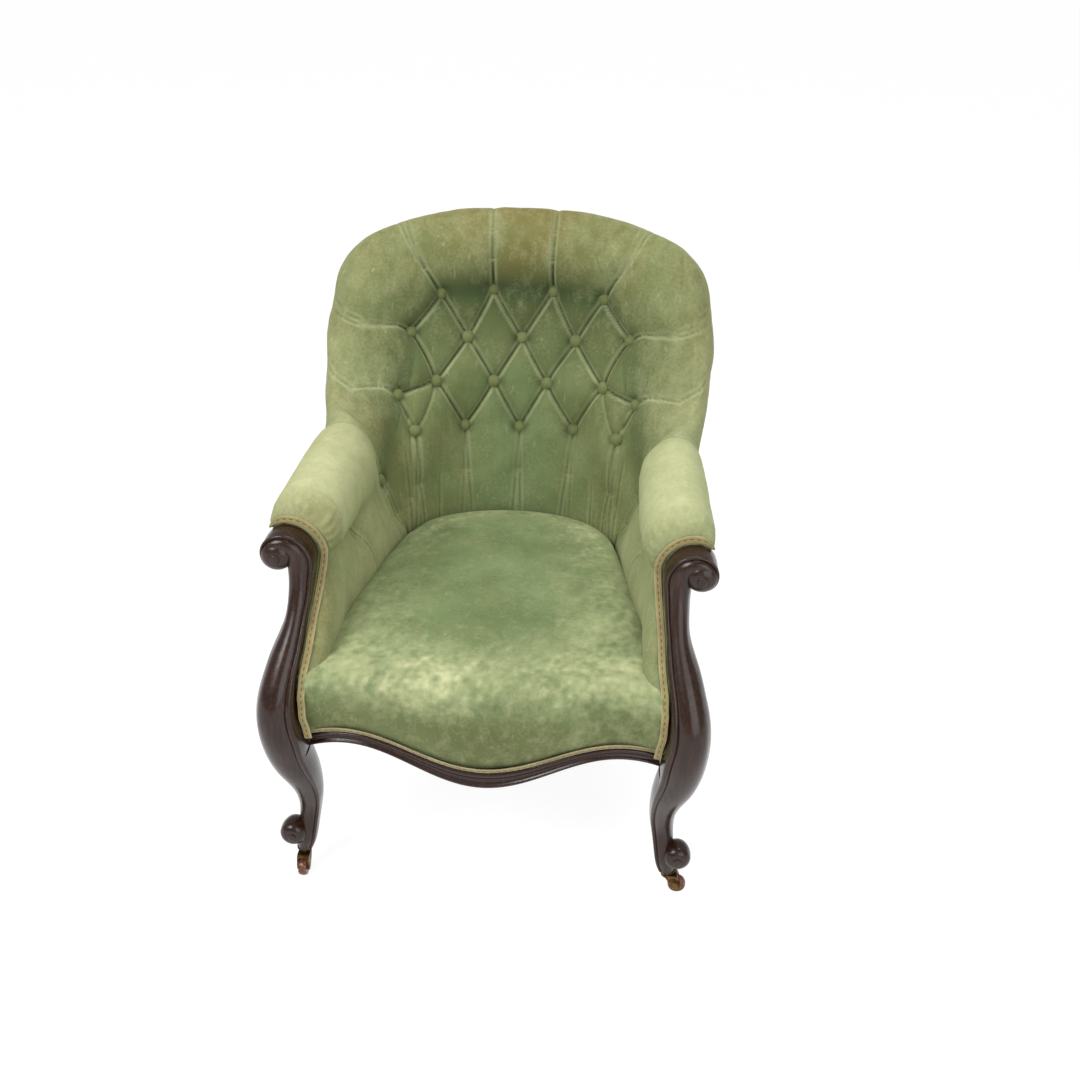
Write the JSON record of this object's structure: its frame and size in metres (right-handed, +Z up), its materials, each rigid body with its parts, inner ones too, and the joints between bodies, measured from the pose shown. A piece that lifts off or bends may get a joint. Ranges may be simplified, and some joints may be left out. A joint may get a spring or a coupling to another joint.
{
  "type": "spoon back chair",
  "caption": "Low upholstered armchair with a curved tufted back, padded arms, sprung seat, carved scroll front legs and a serpentine rail, standing on castors.",
  "frame": {"origin": "on the floor, below the middle of the bounding box", "axes": "+Z up, front toward -Y, +X to the viewer's right from the front"},
  "size_m": [0.7084, 0.8288, 0.945],
  "materials": {
    "mahogany": "dark polished mahogany, soft gloss",
    "beech": "plain beech frame, unfinished",
    "green_velvet": "worn moss green velvet",
    "woven_braid": "woven braid, pale gold edges",
    "jute": "coarse jute",
    "black_cotton": "thin black cotton",
    "spring_steel": "coppered spring wire, dull",
    "tarnished_brass": "tarnished brass",
    "castor_bowl": "brown stoneware bowl, worn"
  },
  "bodies": {
    "chair_frame": {"arm_braid_left": "woven_braid", "arm_braid_right": "woven_braid", "arm_front_pad_left": "green_velvet", "arm_front_pad_right": "green_velvet", "arm_pad_left": "green_velvet", "arm_pad_right": "green_velvet", "arm_rail_left": "beech", "arm_rail_right": "beech", "back_canvas": "jute", "back_seat_rail": "beech", "back_tacking_rail": "beech", "bottom_lining": "black_cotton", "castor_plate_front_left": "tarnished_brass", "castor_plate_front_right": "tarnished_brass", "castor_plate_rear_left": "tarnished_brass", "castor_plate_rear_right": "tarnished_brass", "corner_blocks": "beech", "crest_rail": "beech", "frame_dowels": "beech", "front_braid": "woven_braid", "front_edge_roll": "jute", "front_leg_left": "mahogany", "front_leg_right": "mahogany", "front_seat_rail": "mahogany", "outside_arm_cover_left": "green_velvet", "outside_arm_cover_right": "green_velvet", "outside_back_cover": "green_velvet", "rear_leg_left": "mahogany", "rear_leg_right": "mahogany", "seat_hessian": "jute", "seat_pad": "green_velvet", "seat_springs": "spring_steel", "seat_webbing": "jute", "side_seat_rail_left": "beech", "side_seat_rail_right": "beech", "tufted_back_pad": "green_velvet", "upholstery_buttons": "green_velvet", "wing_rail_left": "beech", "wing_rail_right": "beech"},
    "swivel_front_left": {"castor_horn_front_left": "tarnished_brass", "castor_axle_front_left": "tarnished_brass"},
    "wheel_front_left": {"castor_wheel_front_left": "castor_bowl"},
    "swivel_front_right": {"castor_horn_front_right": "tarnished_brass", "castor_axle_front_right": "tarnished_brass"},
    "wheel_front_right": {"castor_wheel_front_right": "castor_bowl"},
    "swivel_rear_left": {"castor_horn_rear_left": "tarnished_brass", "castor_axle_rear_left": "tarnished_brass"},
    "wheel_rear_left": {"castor_wheel_rear_left": "castor_bowl"},
    "swivel_rear_right": {"castor_horn_rear_right": "tarnished_brass", "castor_axle_rear_right": "tarnished_brass"},
    "wheel_rear_right": {"castor_wheel_rear_right": "castor_bowl"}
  },
  "joints": [
    {"name": "castor_swivel_front_left", "type": "hinge", "parent": "chair_frame", "child": "swivel_front_left", "pos_m": [-0.3045, -0.353, 0.03], "axis": [0, 0, 1], "continuous": true},
    {"name": "castor_roll_front_left", "type": "hinge", "parent": "swivel_front_left", "child": "wheel_front_left", "pos_m": [-0.3045, -0.371, 0.015], "axis": [1, 0, 0], "continuous": true},
    {"name": "castor_swivel_front_right", "type": "hinge", "parent": "chair_frame", "child": "swivel_front_right", "pos_m": [0.3045, -0.353, 0.03], "axis": [0, 0, 1], "continuous": true},
    {"name": "castor_roll_front_right", "type": "hinge", "parent": "swivel_front_right", "child": "wheel_front_right", "pos_m": [0.3225, -0.353, 0.015], "axis": [0, 1, 0], "continuous": true},
    {"name": "castor_swivel_rear_left", "type": "hinge", "parent": "chair_frame", "child": "swivel_rear_left", "pos_m": [-0.2, 0.365, 0.03], "axis": [0, 0, 1], "continuous": true},
    {"name": "castor_roll_rear_left", "type": "hinge", "parent": "swivel_rear_left", "child": "wheel_rear_left", "pos_m": [-0.20761, 0.38131, 0.015], "axis": [-0.9063, -0.4226, 0], "continuous": true},
    {"name": "castor_swivel_rear_right", "type": "hinge", "parent": "chair_frame", "child": "swivel_rear_right", "pos_m": [0.2, 0.365, 0.03], "axis": [0, 0, 1], "continuous": true},
    {"name": "castor_roll_rear_right", "type": "hinge", "parent": "swivel_rear_right", "child": "wheel_rear_right", "pos_m": [0.20616, 0.38191, 0.015], "axis": [-0.9397, 0.342, 0], "continuous": true}
  ]
}
